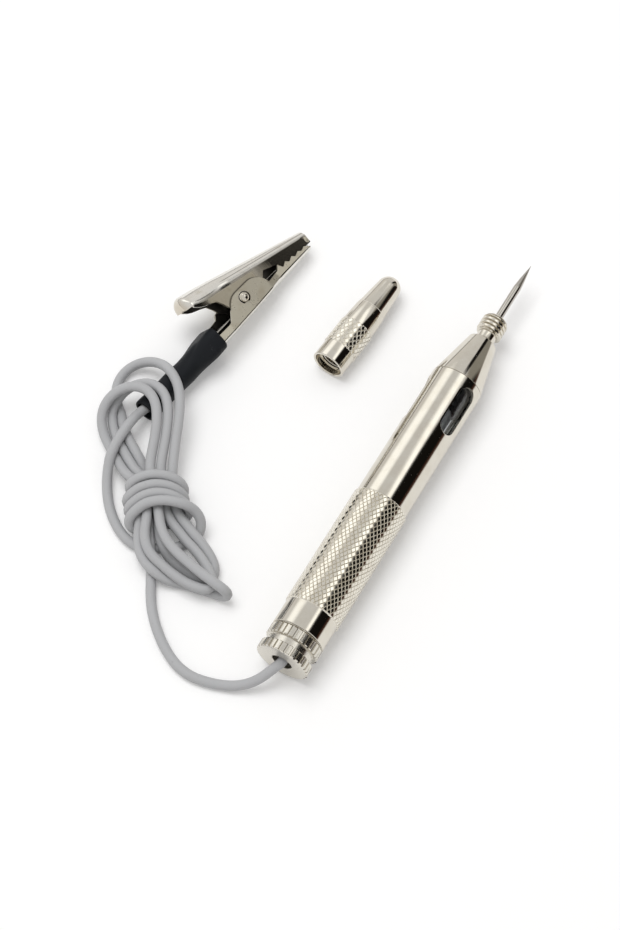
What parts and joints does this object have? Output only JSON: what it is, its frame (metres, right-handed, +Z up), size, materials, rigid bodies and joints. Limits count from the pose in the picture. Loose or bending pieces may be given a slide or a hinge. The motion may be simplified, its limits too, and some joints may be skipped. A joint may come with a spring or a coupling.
{
  "type": "automotive circuit tester",
  "caption": "Pencil circuit tester with a windowed metal barrel, needle and screw-on needle cap, and a grey cord in a hank that ends in a spring clip.",
  "frame": {"origin": "on the table under the middle of the tester and its needle cap (bottom centre of their box)", "axes": "+X along the tester towards the needle's tip, +Y from the tester towards the needle cap and the clip, +Z up"},
  "size_m": [0.122, 0.0727, 0.0129],
  "materials": {
    "nickel": "bright nickel plate on turned metal",
    "needle_steel": "ground steel",
    "clear_tube": "clear tube",
    "lamp_glass": "clear lamp glass",
    "black_plastic": "satin black",
    "filament_wire": "drawn wire",
    "brass": "turned brass",
    "solder": "dull solder",
    "spring_steel": "bright spring wire",
    "copper": "stranded copper",
    "cord_jacket": "smooth grey flexible cord",
    "clip_sheet": "nickel plated sheet",
    "boot_rubber": "soft black sleeve"
  },
  "bodies": {
    "tester": {"barrel": "nickel", "nose_cone": "nickel", "needle": "needle_steel", "lens_tube": "clear_tube", "front_cushion": "black_plastic", "lamp_glass": "lamp_glass", "lamp_filament": "filament_wire", "lamp_base": "brass", "lamp_insulator": "black_plastic", "lamp_contact": "solder", "lamp_holder": "brass", "contact_spring": "spring_steel", "contact_cup": "brass", "rear_insulator": "black_plastic", "cord_stop": "black_plastic", "cord_conductor": "copper", "cord_lead": "cord_jacket", "cord_hank": "cord_jacket", "cord_tail": "cord_jacket", "needle_cap": "nickel", "clip_lower_jaw": "clip_sheet", "clip_rivet": "clip_sheet", "clip_spring": "spring_steel", "clip_boot": "boot_rubber", "clip_conductor": "copper"},
    "clip_jaw": {"clip_upper_jaw": "clip_sheet", "clip_spring_leg": "spring_steel"},
    "end_cap": {"end_cap": "nickel"}
  },
  "joints": [
    {"name": "clip_jaw_hinge", "type": "hinge", "parent": "tester", "child": "clip_jaw", "pos_m": [0.01515, 0.04008, 0.00522], "axis": [-0.0335, -0.5009, 0.8648], "range_deg": [0, 25], "stiffness_Nm_per_rad": 0.18, "springref_deg": -25.21},
    {"name": "end_cap_turn", "type": "hinge", "parent": "tester", "child": "end_cap", "pos_m": [-0.052, -0.01242, 0.0063], "axis": [1, 0, 0], "continuous": true}
  ]
}
